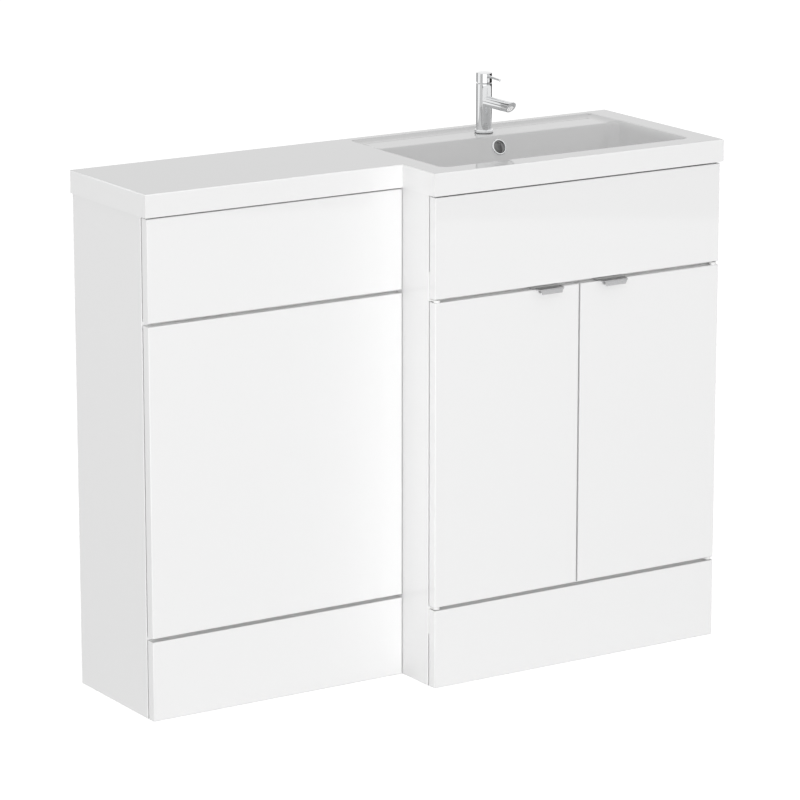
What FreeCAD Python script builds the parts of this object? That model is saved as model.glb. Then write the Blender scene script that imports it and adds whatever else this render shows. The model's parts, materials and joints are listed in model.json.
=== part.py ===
"""Combination vanity unit: a WC unit and a two-door vanity unit under one L-shaped basin top.

Millimetres, +Z up, the fronts face -Y and the wall is at +Y. The origin is the middle of the
overall box, on the floor. Depths are measured from the wall towards the viewer.
"""

import FreeCAD
import Part
import math
import os

Vec = FreeCAD.Vector

# Cabinets
wc_width = 500.0
vanity_width = 600.0
carcass_height = 870.0
wc_carcass_depth = 235.0
vanity_carcass_depth = 337.0
board = 18.0
rail_height = 60.0
top_rail_height = 70.0
back_panel = 8.0
back_panel_setback = 40.0
back_panel_groove = 6.0
back_panel_top = 640.0
groove_clearance = 0.2

# Fronts
front_board = 18.0
front_standoff = 3.0
front_edge_radius = 2.0
front_reveal = 1.0
plinth_height = 140.0
fascia_height = 176.0
front_gap = 6.0
top_gap = 3.0
door_gap = 3.0

# Shelf
shelf_board = 16.0
shelf_height = 400.0
shelf_end_clearance = 1.0
shelf_front_setback = 37.0
shelf_back_clearance = 4.0
shelf_pin_radius = 2.5
shelf_pin_in_side = 8.0
shelf_pin_out = 10.0
shelf_pin_inset = 40.0

# Basin top
top_thickness = 40.0
top_plate = 14.0
top_skirt = 12.0
top_end_overhang = 4.0
wc_top_overhang = 4.0
vanity_top_overhang = 3.0
top_step_overhang = 3.0
top_rib = 26.0
top_edge_radius = 2.0
well_width = 518.0
well_front_rim = 42.0
well_rear_rim = 16.0
well_corner = 13.0
rim_radius = 2.5
lip_radius = 3.0
edge_turns = (0.0, 22.5, 45.0, 67.5, 90.0)
deck_drop = 5.0
deck_cove = 19.0
deck_front = 95.0
bowl_depth = 110.0
bowl_wall = 10.0
bowl_floor = 12.0
bowl_floor_corner = 32.0
bowl_floor_radius = 20.0
bowl_rear_lean = 24.0
bowl_side_lean = 14.0
bowl_front_lean = 8.0

# Overflow and its duct
overflow_drop = 24.0
overflow_ring_radius = 14.5
overflow_ring_flange = 2.4
overflow_ring_edge = 1.6
overflow_ring_bore = 12.0
overflow_hole_radius = 12.8
overflow_sleeve = 3.0
overflow_fit = 0.1
duct_width = 44.0
duct_wall = 2.5
duct_run_height = 20.0
duct_depth_at_top = 5.0

# Basin waste
waste_flange_radius = 31.5
waste_flange = 3.0
waste_body_radius = 21.4
waste_tail_radius = 20.95
waste_tail_bore = 17.5
waste_tail_length = 45.0
waste_hole_radius = 22.5
waste_seal = 2.0
waste_seal_gap = 0.5
waste_slot_width = 12.0
waste_slot_height = 12.0
waste_nut_radius = 29.0
waste_nut_height = 14.0
waste_nut_clearance = 0.1
waste_bar_width = 8.0
waste_bar_height = 10.0
waste_bar_drop = 30.0
waste_boss_radius = 8.0
plug_radius = 28.5
plug_thickness = 5.0
plug_crown = 2.5
plug_lift = 8.0
plug_stem_radius = 4.0
plug_stem_overrun = 14.0
plug_clearance = 0.08
plug_seat_gap = 0.3

# Tap
tap_depth = 55.0
tap_height = 108.2
tap_radius = 14.0
tap_hole_radius = 14.0
tap_base_radius = 17.0
tap_base_height = 6.6
tap_base_edge = 2.4
tap_base_foot = 0.8
tap_neck_radius = 13.0
tap_seal = 1.0
tap_cap_height = 18.2
tap_cap_relief = 15.0
tap_seam = 0.8
tap_seam_edge = 0.7
tap_collar_radius = 10.4
tap_collar_height = 1.4
tap_cap_wall = 2.0
tap_cap_edge = 1.0
tap_cap_crown = 8.5
tap_spout_height = 57.3
tap_spout_reach = 92.0
tap_spout_radius = 9.8
tap_spout_bore = 6.5
tap_spout_cut = 35.0
tap_aerator_radius = 6.2
tap_aerator_drop = 3.2
tap_aerator_depth = 6.0
tap_aerator_recess = 0.6
tap_aerator_pitch = 3.8
tap_aerator_hole = 1.1
tap_cartridge_radius = 9.0
tap_cartridge_height = 30.0
tap_cartridge_bore = 5.0
tap_cartridge_fit = 0.05
tap_cartridge_sink = 1.0
tap_turret_radius = 4.95
tap_turret_head = 4.5
tap_turret_in_cartridge = 18.0
tap_pin_radius = 1.5
tap_pin_rise = 4.0
tap_pin_fit = 0.05
tap_turret_over_pin = 2.3
tap_lug_gap = 0.4
tap_lug_width = 3.0
tap_lug_half = 3.0
tap_lug_below = 2.4
tap_lever_radius = 2.25
tap_lever_reach = 51.0
tap_lever_drop = 4.6
tap_lever_tilt = 3.5
tap_lever_seat = 8.0
tap_lever_edge = 0.8
tap_inlet_radius = 4.5
tap_inlet_depth = 12.0
tap_inlet_spacing = 15.0
tap_inlet_offset = 2.5
tap_waterway_radius = 2.5
tap_stud_radius = 4.0
tap_stud_offset = 8.0
tap_stud_in_body = 12.0
tap_stud_length = 62.0
tap_clamp_radius = 17.0
tap_clamp_seal = 3.0
tap_clamp_plate = 2.5
tap_clamp_slot = 13.0
tap_clamp_slot_front = 3.0
tap_nut_radius = 7.5
tap_nut_height = 6.5
tap_stud_fit = 0.1

# Door handles: a folded tab on the top edge of each door
handle_plate = 1.5
handle_length = 59.0
handle_bend_length = 48.5
handle_lip_length = 41.0
handle_lip = 9.0
handle_reach = 14.0
handle_from_meeting = 36.5
handle_rear_inset = 4.0
handle_bend_radius = 1.8
handle_screw_radius = 1.5
handle_screw_head = 2.9
handle_screw_length = 14.0
handle_screw_spacing = 40.0

# Pivot hinges over and under each door, their axis placed across from the carcass's outer face
# and forward from the carcass's front edge
hinge_across = 8.5
hinge_forward = 13.5
hinge_plate = 3.0
hinge_tongue_radius = 6.0
hinge_flange = 2.0
hinge_flange_width = 14.0
hinge_flange_height = 50.0
hinge_pin_radius = 2.5
hinge_pin_length = 12.0
hinge_pin_fit = 0.05
hinge_bush_radius = 4.5
hinge_bush_length = 13.0
hinge_bush_flange_radius = 5.5
hinge_bush_gap = 0.1
hinge_screw_radius = 1.75
hinge_screw_head = 3.5
hinge_screw_length = 18.0
hinge_screw_offsets = (24.0, 42.0)

# Push-fit access panel
stud_flange_radius = 8.0
stud_flange = 2.5
stud_radius = 4.0
stud_reach = 9.0
stud_spigot_radius = 2.5
stud_spigot = 10.0
socket_radius = 6.0
socket_depth = 12.0
socket_fit = 0.1
stud_end_inset = 60.0
stud_rail_offset = 12.0

# Loose fixings
dowel_radius = 4.0
dowel_in_side = 12.0
dowel_in_rail = 18.0
dowel_fit = 0.05
dowel_end_gap = 1.0
dowel_inset = 15.0
base_dowel_shares = (0.25, 0.8)
block_size = 18.0
block_length = 40.0
block_screw_offset = 10.0
block_screw_setback = 6.0
wc_block_shares = (0.2, 0.5, 0.8)
fascia_block_shares = (0.25, 0.75)
screw_radius = 2.0
screw_head_radius = 4.0
screw_head = 2.5
screw_bite = 12.0
screw_fit = 0.05
bracket_leg = 40.0
bracket_height = 30.0
bracket_plate = 2.0
bracket_hole_radius = 2.75
bracket_drop = 130.0
bolt_radius = 3.0
bolt_head_radius = 6.0
bolt_head = 3.0
bolt_nut_radius = 5.5
bolt_nut = 5.0
bolt_fit = 0.1
bolt_level_shares = (0.3, 0.7)
bolt_depth_shares = (0.3, 0.75)
bumper_radius = 4.0
bumper_clearance = 0.3
bumper_inset = 30.0

# Places worked out from the sizes
overall_width = wc_width + vanity_width
overall_depth = vanity_carcass_depth + front_standoff + front_board + handle_reach
wall_y = overall_depth / 2
left_x = -overall_width / 2
split_x = left_x + wc_width
right_x = overall_width / 2
vanity_x = (split_x + right_x) / 2
rim_z = carcass_height + top_thickness
deck_z = rim_z - deck_drop
floor_z = rim_z - bowl_depth
door_bottom = plinth_height + front_gap
fascia_top = carcass_height - top_gap
fascia_bottom = fascia_top - fascia_height
door_top = fascia_bottom - front_gap
mid_rail_bottom = (door_top + fascia_bottom) / 2 - rail_height / 2
mid_rail_top = mid_rail_bottom + rail_height
low_rail_bottom = plinth_height + front_gap / 2 - rail_height / 2
low_rail_top = low_rail_bottom + rail_height
base_bottom = plinth_height
base_top = base_bottom + board
bracket_level = carcass_height - bracket_drop
wc_top_depth = wc_carcass_depth + front_standoff + front_board + wc_top_overhang
vanity_top_depth = vanity_carcass_depth + front_standoff + front_board + vanity_top_overhang
plate_under = rim_z - top_plate
well_x0 = vanity_x - well_width / 2
well_x1 = vanity_x + well_width / 2
well_front = vanity_top_depth - well_front_rim
rear_slope = math.tan(math.radians(bowl_rear_lean))
side_slope = math.tan(math.radians(bowl_side_lean))
front_slope = math.tan(math.radians(bowl_front_lean))
bowl_under = floor_z - bowl_floor
floor_front = well_front - bowl_depth * front_slope
floor_rear = deck_front + (deck_z - floor_z) * rear_slope
waste_centre = Vec(vanity_x, wall_y - (floor_front + floor_rear) / 2, 0)
duct_bottom = bowl_under - duct_run_height - duct_wall


def away(depth):
    """The Y of a point at this depth from the wall."""
    return wall_y - depth


def block(x0, x1, depth0, depth1, z0, z1):
    """A square block between two X, two depths from the wall and two heights."""
    corner = Vec(min(x0, x1), away(max(depth0, depth1)), min(z0, z1))
    return Part.makeBox(abs(x1 - x0), abs(depth1 - depth0), abs(z1 - z0), corner)


def rod(radius, start, end):
    """A round bar between two points."""
    line = end - start
    return Part.makeCylinder(radius, line.Length, start, line)


def union(shapes):
    """One solid from touching or overlapping shapes, with its seams removed."""
    whole = shapes[0]
    for shape in shapes[1:]:
        whole = whole.fuse(shape)
    return whole.removeSplitter()


def edges_on(shape, test):
    """The edges whose every vertex passes the test."""
    return [e for e in shape.Edges if all(test(v.Point) for v in e.Vertexes)]


def near(a, b):
    return abs(a - b) < 1e-4


nodes = {}


def keep(name, *solids):
    """Adds solids to a node."""
    nodes.setdefault(name, []).extend(solids)


def cut(name, *tools):
    """Cuts every solid of a node by the tools."""
    for tool in tools:
        nodes[name] = [solid.cut(tool) for solid in nodes[name]]


def prism(points, rise):
    """A straight-sided solid from a closed outline, carried along a vector."""
    return Part.Face(Part.makePolygon(points + points[:1])).extrude(rise)


def rounded_rectangle(x0, x1, depth0, depth1, radius, z):
    """A level closed outline with round corners."""
    y0 = away(depth1)
    y1 = away(depth0)
    corners = (
        (x1 - radius, y1 - radius, 0),
        (x0 + radius, y1 - radius, 90),
        (x0 + radius, y0 + radius, 180),
        (x1 - radius, y0 + radius, 270),
    )
    arcs = []
    for x, y, turn in corners:
        points = []
        for step in (0, 45, 90):
            angle = math.radians(turn + step)
            points.append(Vec(x + radius * math.cos(angle), y + radius * math.sin(angle), z))
        arcs.append(points)
    edges = []
    for points, following in zip(arcs, arcs[1:] + arcs[:1]):
        edges.append(Part.Arc(*points).toShape())
        edges.append(Part.LineSegment(points[2], following[0]).toShape())
    return Part.Wire(edges)


def circles_at(shape, z):
    """The whole-circle edges of a round shape at a height."""
    return [e for e in shape.Edges if e.Closed and near(e.CenterOfMass.z, z)]


def six_round(radius):
    """Six places evenly round a circle, as pairs."""
    turns = [math.radians(turn) for turn in range(0, 360, 60)]
    return [(radius * math.cos(turn), radius * math.sin(turn)) for turn in turns]


def ring(outer, inner, centre, z0, z1):
    """An upright ring round a vertical line."""
    base = Vec(centre.x, centre.y, z0)
    top = Vec(centre.x, centre.y, z1)
    return rod(outer, base, top).cut(rod(inner, base, top))


# Fixings that several pieces share


def dowel(rail, side, face_x, inward, depth, z):
    """A glued dowel across the joint of a side's inner face with the end of a rail."""
    start = Vec(face_x - inward * dowel_in_side, away(depth), z)
    end = Vec(face_x + inward * dowel_in_rail, away(depth), z)
    keep("carcass_dowels", rod(dowel_radius, start, end))
    reach = Vec(inward * dowel_end_gap, 0, 0)
    hole = rod(dowel_radius + dowel_fit, start - reach, end + reach)
    cut(rail, hole)
    cut(side, hole)


def screw(seat, direction, grip, into):
    """A pan-head screw through a fitting into a board. Gives back the hole for the fitting."""
    tip = seat + direction * (grip + screw_bite)
    head = rod(screw_head_radius, seat - direction * screw_head, seat)
    keep("panel_screws", union([head, rod(screw_radius, seat, tip)]))
    hole = rod(screw_radius + screw_fit, seat, tip + direction * dowel_end_gap)
    cut(into, hole)
    return hole


def flush_screw(node, seat, drive, plate, sizes):
    """A countersunk screw through a plate that lies on the seat. Gives back its head and its hole."""
    shank_radius, head_radius, length = sizes
    tip = seat + drive * length
    head = Part.makeCone(shank_radius, head_radius, plate, seat, -drive)
    keep(node, union([head, rod(shank_radius, seat, tip)]))
    return head, rod(shank_radius + screw_fit, seat, tip + drive * dowel_end_gap)


def fixing_block(side, front, face_x, inward, carcass_depth, z):
    """A corner block that holds a front off a carcass side."""
    front_depth = carcass_depth + front_standoff
    rear_depth = front_depth - block_size
    inner_x = face_x + inward * block_size
    half = block_length / 2
    body = block(face_x, inner_x, rear_depth, front_depth, z - half, z + half)
    side_seat = Vec(inner_x, away(rear_depth + block_screw_setback), z - block_screw_offset)
    front_seat = Vec(face_x + inward * block_size / 2, away(rear_depth), z + block_screw_offset)
    body = body.cut(screw(side_seat, Vec(-inward, 0, 0), block_size, side))
    body = body.cut(screw(front_seat, Vec(0, -1, 0), block_size, front))
    keep("fixing_blocks", body)


def wall_bracket(side, face_x, inward):
    """An angle bracket from a carcass side to the wall."""
    z0 = bracket_level - bracket_height / 2
    z1 = bracket_level + bracket_height / 2
    plate_x = face_x + inward * bracket_plate
    side_leg = block(face_x, plate_x, 0, bracket_leg, z0, z1)
    wall_leg = block(face_x, face_x + inward * bracket_leg, 0, bracket_plate, z0, z1)
    body = union([side_leg, wall_leg])
    hole_x = face_x + inward * (bracket_plate + bracket_leg) / 2
    body = body.cut(rod(bracket_hole_radius, Vec(hole_x, away(0), bracket_level),
                        Vec(hole_x, away(bracket_plate), bracket_level)))
    seat = Vec(plate_x, away((bracket_plate + bracket_leg) / 2), bracket_level)
    keep("wall_brackets", body.cut(screw(seat, Vec(-inward, 0, 0), bracket_plate, side)))


def front(name, x0, x1, carcass_depth, z0, z1):
    """A front board standing off the carcass, with its visible edges rounded."""
    rear_depth = carcass_depth + front_standoff
    panel = block(x0, x1, rear_depth, rear_depth + front_board, z0, z1)
    front_y = away(rear_depth + front_board)
    keep(name, panel.makeFillet(front_edge_radius, edges_on(panel, lambda p: near(p.y, front_y))))


# WC unit


def wc_unit():
    inner_left = left_x + board
    inner_right = split_x - board
    ends = (("wc_side_left", inner_left, 1), ("wc_side_right", inner_right, -1))
    depth = wc_carcass_depth
    keep("wc_side_left", block(left_x, inner_left, 0, depth, 0, carcass_height))
    keep("wc_side_right", block(inner_right, split_x, 0, depth, 0, carcass_height))
    top_rail_bottom = carcass_height - top_rail_height
    rails = (
        ("wc_top_front_rail", depth - board, top_rail_bottom, carcass_height),
        ("wc_top_rear_rail", 0, top_rail_bottom, carcass_height),
        ("wc_mid_rail", depth - board, mid_rail_bottom, mid_rail_top),
        ("wc_low_rail", depth - board, low_rail_bottom, low_rail_top),
    )
    for name, rear, z0, z1 in rails:
        keep(name, block(inner_left, inner_right, rear, rear + board, z0, z1))
        for side, face_x, inward in ends:
            for z in (z0 + dowel_inset, z1 - dowel_inset):
                dowel(name, side, face_x, inward, rear + board / 2, z)

    x0 = left_x + front_reveal
    x1 = split_x - front_reveal
    front("wc_plinth", x0, x1, depth, 0, plinth_height)
    front("wc_front_panel", x0, x1, depth, door_bottom, door_top)
    front("wc_access_panel", x0, x1, depth, fascia_bottom, fascia_top)
    clear_height = mid_rail_bottom - low_rail_top
    for side, face_x, inward in ends:
        fixing_block(side, "wc_plinth", face_x, inward, depth, low_rail_bottom / 2)
        for share in wc_block_shares:
            z = low_rail_top + share * clear_height
            fixing_block(side, "wc_front_panel", face_x, inward, depth, z)
        wall_bracket(side, face_x, inward)

    stud_levels = (
        ("wc_top_front_rail", carcass_height - top_rail_height / 2),
        ("wc_mid_rail", fascia_bottom + stud_rail_offset),
    )
    for rail, z in stud_levels:
        for x in (left_x + stud_end_inset, split_x - stud_end_inset):
            access_stud(rail, x, z)


def access_stud(rail, x, z):
    """A push-fit stud on the access panel and its socket in a rail."""
    def at(depth):
        return Vec(x, away(depth), z)
    face = wc_carcass_depth
    panel_back = face + front_standoff
    socket = rod(socket_radius, at(face - socket_depth), at(face))
    keep("access_sockets", socket.cut(rod(stud_radius + socket_fit, at(face - socket_depth), at(face))))
    cut(rail, rod(socket_radius + dowel_fit, at(face - socket_depth), at(face)))
    flange = rod(stud_flange_radius, at(panel_back - stud_flange), at(panel_back))
    shank = rod(stud_radius, at(face - stud_reach), at(panel_back))
    spigot = rod(stud_spigot_radius, at(panel_back), at(panel_back + stud_spigot))
    keep("access_studs", union([flange, shank, spigot]))
    cut("wc_access_panel", rod(stud_spigot_radius + dowel_fit, at(panel_back),
                               at(panel_back + stud_spigot + dowel_end_gap)))


# Vanity unit


def vanity_unit():
    inner_left = split_x + board
    inner_right = right_x - board
    ends = (("vanity_side_left", inner_left, 1), ("vanity_side_right", inner_right, -1))
    depth = vanity_carcass_depth
    keep("vanity_side_left", block(split_x, inner_left, 0, depth, 0, carcass_height))
    keep("vanity_side_right", block(inner_right, right_x, 0, depth, 0, carcass_height))
    keep("vanity_base", block(inner_left, inner_right, 0, depth, base_bottom, base_top))
    top_rail_bottom = carcass_height - top_rail_height
    keep("vanity_rear_rail", block(inner_left, inner_right, 0, board, top_rail_bottom, carcass_height))
    keep("vanity_mid_rail", block(inner_left, inner_right, depth - board, depth,
                                  mid_rail_bottom, mid_rail_top))
    for side, face_x, inward in ends:
        for share in base_dowel_shares:
            dowel("vanity_base", side, face_x, inward, share * depth, (base_bottom + base_top) / 2)
        for z in (top_rail_bottom + dowel_inset, carcass_height - dowel_inset):
            dowel("vanity_rear_rail", side, face_x, inward, board / 2, z)
        for z in (mid_rail_bottom + dowel_inset, mid_rail_top - dowel_inset):
            dowel("vanity_mid_rail", side, face_x, inward, depth - board / 2, z)

    x0 = split_x + front_reveal
    x1 = right_x - front_reveal
    front("vanity_plinth", x0, x1, depth, 0, plinth_height)
    front("vanity_fascia", x0, x1, depth, fascia_bottom, fascia_top)
    for side, face_x, inward in ends:
        fixing_block(side, "vanity_plinth", face_x, inward, depth, base_bottom / 2)
        for share in fascia_block_shares:
            z = mid_rail_top + share * (fascia_top - mid_rail_top)
            fixing_block(side, "vanity_fascia", face_x, inward, depth, z)
        wall_bracket(side, face_x, inward)

    back_panel_and_shelf(inner_left, inner_right)
    unit_bolts()
    bumpers()


def back_panel_and_shelf(inner_left, inner_right):
    rear = back_panel_setback
    front_of_back = rear + back_panel
    keep("vanity_back_panel", block(inner_left - back_panel_groove, inner_right + back_panel_groove,
                                    rear, front_of_back, base_top - back_panel_groove, back_panel_top))
    slot_x0 = inner_left - back_panel_groove - groove_clearance
    slot_x1 = inner_right + back_panel_groove + groove_clearance
    slot_bottom = base_top - back_panel_groove
    slot = block(slot_x0, slot_x1, rear - groove_clearance, front_of_back + groove_clearance,
                 slot_bottom, carcass_height)
    for name in ("vanity_side_left", "vanity_side_right", "vanity_base"):
        cut(name, slot)

    shelf_rear = front_of_back + shelf_back_clearance
    shelf_front = vanity_carcass_depth - shelf_front_setback
    keep("vanity_shelf", block(inner_left + shelf_end_clearance, inner_right - shelf_end_clearance,
                               shelf_rear, shelf_front, shelf_height, shelf_height + shelf_board))
    pin_z = shelf_height - shelf_pin_radius
    ends = (("vanity_side_left", inner_left, 1), ("vanity_side_right", inner_right, -1))
    for side, face_x, inward in ends:
        for pin_depth in (shelf_rear + shelf_pin_inset, shelf_front - shelf_pin_inset):
            start = Vec(face_x - inward * shelf_pin_in_side, away(pin_depth), pin_z)
            end = Vec(face_x + inward * shelf_pin_out, away(pin_depth), pin_z)
            keep("shelf_pins", rod(shelf_pin_radius, start, end))
            cut(side, rod(shelf_pin_radius + dowel_fit, start, end))


def unit_bolts():
    """Bolts and nuts that pull the two cabinets together."""
    head_face = split_x + board
    nut_face = split_x - board
    for level_share in bolt_level_shares:
        for depth_share in bolt_depth_shares:
            place = Vec(0, away(depth_share * wc_carcass_depth), level_share * carcass_height)

            def at(x):
                return place + Vec(x, 0, 0)

            head = rod(bolt_head_radius, at(head_face), at(head_face + bolt_head))
            shank = rod(bolt_radius, at(nut_face - bolt_nut), at(head_face))
            keep("unit_bolts", union([head, shank]))
            nut = rod(bolt_nut_radius, at(nut_face - bolt_nut), at(nut_face))
            hole = rod(bolt_radius + bolt_fit, at(nut_face - bolt_nut), at(head_face))
            keep("unit_bolts", nut.cut(hole))
            cut("wc_side_right", hole)
            cut("vanity_side_left", hole)


def bumpers():
    """Soft dots on the carcass that the doors close against."""
    levels = ((mid_rail_bottom + door_top) / 2, (door_bottom + base_top) / 2)
    face = vanity_carcass_depth
    for z in levels:
        for way in (-1, 1):
            x = vanity_x + way * (door_gap / 2 + bumper_inset)
            keep("door_bumpers", rod(bumper_radius, Vec(x, away(face), z),
                                     Vec(x, away(face + front_standoff - bumper_clearance), z)))


# Doors, handles and hinges


def doors():
    for side, outer_x, inward in (("left", split_x, 1), ("right", right_x, -1)):
        meeting_x = vanity_x - inward * door_gap / 2
        edge_x = outer_x + inward * front_reveal
        front("door_" + side, edge_x, meeting_x, vanity_carcass_depth, door_bottom, door_top)
        handle(side, meeting_x, inward)
        hinge(side, outer_x, inward, door_top, 1)
        hinge(side, outer_x, inward, door_bottom, -1)


def handle(side, meeting_x, inward):
    """A folded tab: a plate on the door's top edge and a lip turned down in front of the door."""
    door_front = vanity_carcass_depth + front_standoff + front_board
    tip_depth = door_front + handle_reach
    rear_depth = vanity_carcass_depth + front_standoff + handle_rear_inset
    centre = meeting_x - inward * (handle_from_meeting + handle_length / 2)
    plate_top = door_top + handle_plate
    lip_bottom = plate_top - handle_lip

    def across(half, depth, z):
        return Vec(centre + half, away(depth), z)

    half = handle_length / 2
    bend = handle_bend_length / 2
    lip = handle_lip_length / 2
    plate = prism([across(-half, rear_depth, door_top), across(half, rear_depth, door_top),
                   across(half, door_front, door_top), across(bend, tip_depth, door_top),
                   across(-bend, tip_depth, door_top), across(-half, door_front, door_top)],
                  Vec(0, 0, handle_plate))
    drop = prism([across(-bend, tip_depth, plate_top), across(bend, tip_depth, plate_top),
                  across(lip, tip_depth, lip_bottom), across(-lip, tip_depth, lip_bottom)],
                 Vec(0, handle_plate, 0))
    body = union([plate, drop])
    fold = edges_on(body, lambda p: near(p.y, away(tip_depth)) and near(p.z, plate_top))
    body = body.makeFillet(handle_bend_radius, fold)
    screw_depth = door_front - front_board / 2
    for way in (-1, 1):
        seat = across(way * handle_screw_spacing / 2, screw_depth, door_top)
        head, hole = flush_screw("handle_screws_" + side, seat, Vec(0, 0, -1), handle_plate,
                                 (handle_screw_radius, handle_screw_head, handle_screw_length))
        body = body.cut(head)
        cut("door_" + side, hole)
    keep("handle_" + side, body)


def hinge(side, outer_x, inward, edge_z, out):
    """A pivot hinge: an arm on the carcass side, its pin in a bush in the door's top or bottom edge."""
    face = vanity_carcass_depth
    pivot = Vec(outer_x + inward * hinge_across, away(face + hinge_forward), 0)

    def at(z):
        return pivot + Vec(0, 0, z)

    inner_z = edge_z + out * (front_gap - hinge_plate) / 2
    outer_z = inner_z + out * hinge_plate
    flange_end = inner_z + out * hinge_flange_height
    half = hinge_flange_width / 2
    arm = union([
        block(pivot.x - half, pivot.x + half, face, face + hinge_flange, inner_z, flange_end),
        block(pivot.x - hinge_tongue_radius, pivot.x + hinge_tongue_radius, face, face + hinge_forward,
              inner_z, outer_z),
        rod(hinge_tongue_radius, at(inner_z), at(outer_z)),
        rod(hinge_pin_radius, at(inner_z - out * hinge_pin_length), at(outer_z)),
    ])
    for offset in hinge_screw_offsets:
        seat = Vec(pivot.x, away(face), inner_z + out * offset)
        head, hole = flush_screw("hinge_screws", seat, Vec(0, 1, 0), hinge_flange,
                                 (hinge_screw_radius, hinge_screw_head, hinge_screw_length))
        arm = arm.cut(head)
        cut("vanity_side_" + side, hole)
    keep("hinge_arms", arm)

    bore = hinge_pin_radius + hinge_pin_fit
    bush_end = edge_z - out * hinge_bush_length
    bush = ring(hinge_bush_radius, bore, pivot, bush_end, edge_z)
    flange = ring(hinge_bush_flange_radius, bore, pivot, edge_z, inner_z - out * hinge_bush_gap)
    keep("hinge_bushes_" + side, union([bush, flange]))
    cut("door_" + side, rod(hinge_bush_radius + dowel_fit, at(bush_end), at(edge_z)))


# Basin top, overflow and waste


def rounding(fall, radius):
    """How far a rounded edge stands out at this fall below it."""
    left = radius - min(max(fall, 0), radius)
    return radius - math.sqrt(radius ** 2 - left ** 2)


def bowl_section(z, wall, rim, lip):
    """The bowl's outline at a height, grown by a wall, or by the roundings of its rim and deck lip."""
    fall = rim_z - z
    corner = well_corner + (bowl_floor_corner - well_corner) * fall / bowl_depth
    grow = wall + rounding(fall, rim)
    rear_grow = wall + rounding(deck_z - z, lip)
    return rounded_rectangle(well_x0 + fall * side_slope - grow, well_x1 - fall * side_slope + grow,
                             deck_front + (deck_z - z) * rear_slope - rear_grow,
                             well_front - fall * front_slope + grow, corner + grow, z)


def bowl_shell(top_z):
    """The bowl's outside, down to its underside."""
    return Part.makeLoft([bowl_section(z, bowl_wall, 0, 0) for z in (top_z, bowl_under)], True, True)


def bowl_hollow():
    """The bowl's inside, with its rim, its deck lip and its floor rounded."""
    levels = []
    for top_z, radius in ((rim_z, rim_radius), (deck_z, lip_radius)):
        for turn in edge_turns:
            levels.append(top_z - radius * (1 - math.cos(math.radians(turn))))
    levels.append(floor_z)
    hollow = Part.makeLoft([bowl_section(z, 0, rim_radius, lip_radius) for z in levels], True, True)
    return hollow.makeFillet(bowl_floor_radius, edges_on(hollow, lambda p: near(p.z, floor_z)))


def coved(start, foot, end, run):
    """A shallow trough: a cove down from the rim at the start to the deck at the foot, level to the end."""
    across = foot - start
    width = across.Length
    radius = (width ** 2 + deck_drop ** 2) / (2 * deck_drop)
    half_turn = math.asin(width / radius) / 2
    drop = Vec(0, 0, -deck_drop)
    middle = start + across * (1 - radius * math.sin(half_turn) / width) + drop
    middle.z += radius * (1 - math.cos(half_turn))
    edges = [
        Part.Arc(start, middle, foot + drop).toShape(),
        Part.LineSegment(foot + drop, end + drop).toShape(),
        Part.LineSegment(end + drop, end).toShape(),
        Part.LineSegment(end, start).toShape(),
    ]
    return Part.Face(Part.Wire(edges)).extrude(run)


def deck_recess():
    """The sunk tap deck behind the bowl, coved at its rear and its two ends."""
    reach = deck_front + bowl_wall

    def at(x, depth):
        return Vec(x, away(depth), rim_z)

    rear = coved(at(well_x0, well_rear_rim), at(well_x0, well_rear_rim + deck_cove), at(well_x0, reach),
                 Vec(well_width, 0, 0))
    halves = []
    for end_x, inward in ((well_x0, 1), (well_x1, -1)):
        halves.append(coved(at(end_x, reach), at(end_x + inward * deck_cove, reach), at(vanity_x, reach),
                            Vec(0, reach, 0)))
    outline = rounded_rectangle(well_x0, well_x1, well_rear_rim, well_front, well_corner, deck_z)
    plan = Part.Face(outline).extrude(Vec(0, 0, deck_drop))
    return rear.common(union(halves)).common(plan)


def basin_top():
    end_left = left_x - top_end_overhang
    end_right = right_x + top_end_overhang
    step_x = split_x - top_step_overhang
    outline = ((end_left, 0), (end_left, wc_top_depth), (step_x, wc_top_depth),
               (step_x, vanity_top_depth), (end_right, vanity_top_depth), (end_right, 0))
    slab = prism([Vec(x, away(depth), carcass_height) for x, depth in outline], Vec(0, 0, top_thickness))

    def off_the_wall(edge):
        return not all(near(v.Point.y, wall_y) for v in edge.Vertexes)

    shown = [e for e in edges_on(slab, lambda p: near(p.z, rim_z)) if off_the_wall(e)]
    slab = slab.makeFillet(top_edge_radius, shown)
    wc_pocket = block(end_left + top_skirt, split_x - top_rib / 2, top_skirt, wc_top_depth - top_skirt,
                      carcass_height, plate_under)
    vanity_pocket = block(split_x + top_rib / 2, end_right - top_skirt, top_skirt,
                          vanity_top_depth - top_skirt, carcass_height, plate_under)
    slab = slab.cut(wc_pocket).cut(vanity_pocket)
    top = slab.fuse(bowl_shell(rim_z - top_edge_radius)).cut(bowl_hollow()).cut(deck_recess())

    tap = tap_axis()
    top = top.cut(rod(tap_hole_radius, tap + Vec(0, 0, plate_under), tap + Vec(0, 0, rim_z)))
    seat_z = floor_z - waste_flange - waste_seal
    floor_middle = waste_centre + Vec(0, 0, floor_z)
    top = top.cut(rod(waste_hole_radius, waste_centre + Vec(0, 0, bowl_under), floor_middle))
    top = top.cut(rod(waste_flange_radius + waste_seal_gap, waste_centre + Vec(0, 0, seat_z), floor_middle))
    mouth, inward = overflow_line()
    top = top.cut(rod(overflow_hole_radius, mouth - inward * bowl_wall, mouth + inward * 2 * bowl_wall))
    keep("basin_worktop", top.removeSplitter())


def overflow_line():
    """The middle of the overflow on the bowl's rear wall, and the way into the wall."""
    z = rim_z - overflow_drop
    lean = math.radians(bowl_rear_lean)
    mouth = Vec(vanity_x, away(deck_front + (deck_z - z) * rear_slope), z)
    return mouth, Vec(0, math.cos(lean), -math.sin(lean))


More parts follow.
